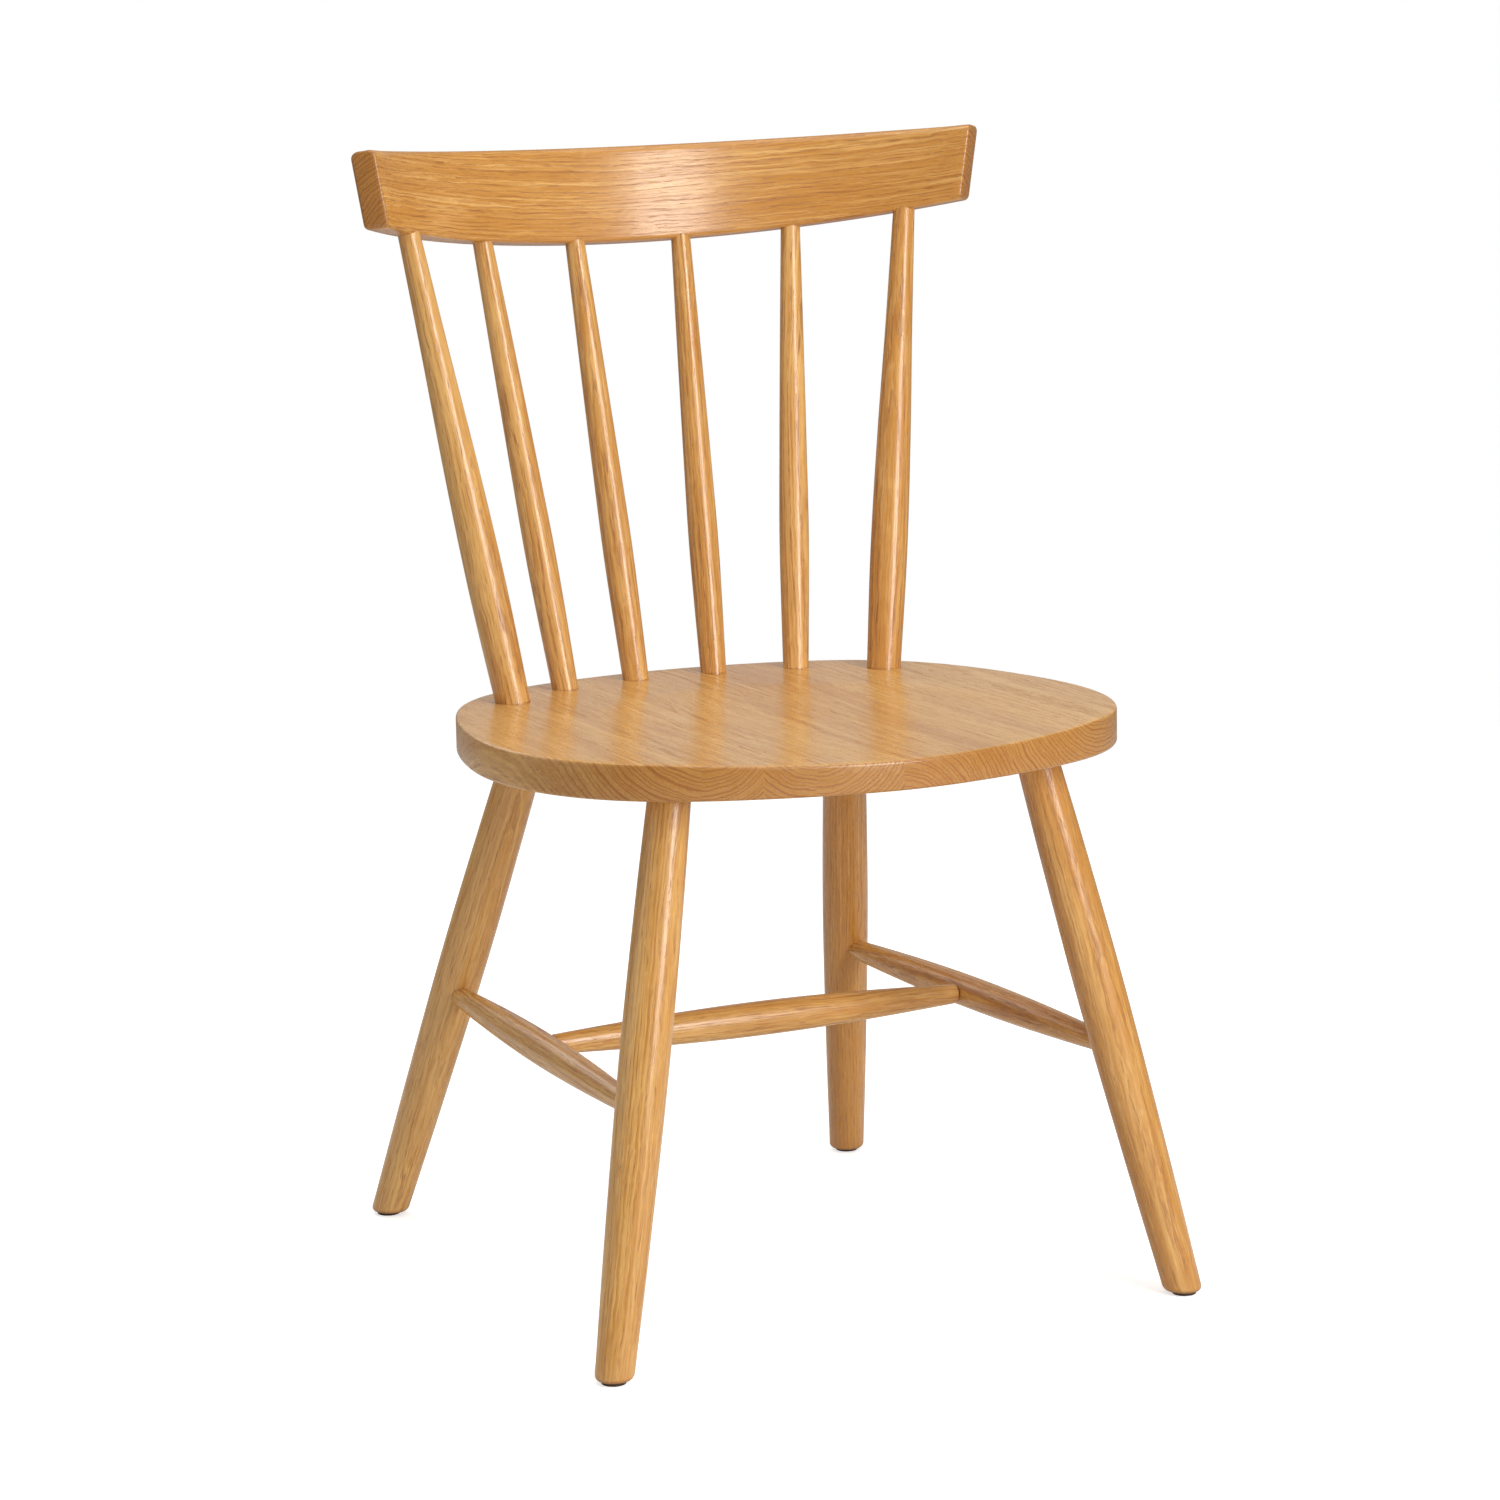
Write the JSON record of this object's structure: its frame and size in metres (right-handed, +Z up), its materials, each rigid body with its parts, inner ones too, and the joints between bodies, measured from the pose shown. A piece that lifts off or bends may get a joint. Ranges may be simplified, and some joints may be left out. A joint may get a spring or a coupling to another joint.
{
  "type": "dining chair",
  "caption": "Spindle-back dining chair in solid oak with a dished board seat, splayed turned legs, H stretcher and bent crest rail.",
  "frame": {"origin": "on the floor, below the middle of the chair's bounding box", "axes": "+Z up; -Y is the way a sitter faces, from the crest rail towards the front edge of the seat; +X to the sitter's left"},
  "size_m": [0.545, 0.559, 0.8835],
  "materials": {
    "oak": "clear satin lacquer over honey-coloured oak",
    "glide": "fine matte moulded"
  },
  "bodies": {
    "root": {"seat_board_1": "oak", "seat_board_2": "oak", "seat_board_3": "oak", "seat_board_4": "oak", "front_left_leg": "oak", "front_right_leg": "oak", "back_left_leg": "oak", "back_right_leg": "oak", "front_left_glide": "glide", "front_right_glide": "glide", "back_left_glide": "glide", "back_right_glide": "glide", "left_side_stretcher": "oak", "right_side_stretcher": "oak", "cross_stretcher": "oak", "back_post_left": "oak", "back_post_right": "oak", "back_spindle_1": "oak", "back_spindle_2": "oak", "back_spindle_3": "oak", "back_spindle_4": "oak", "crest_rail": "oak"}
  },
  "joints": []
}
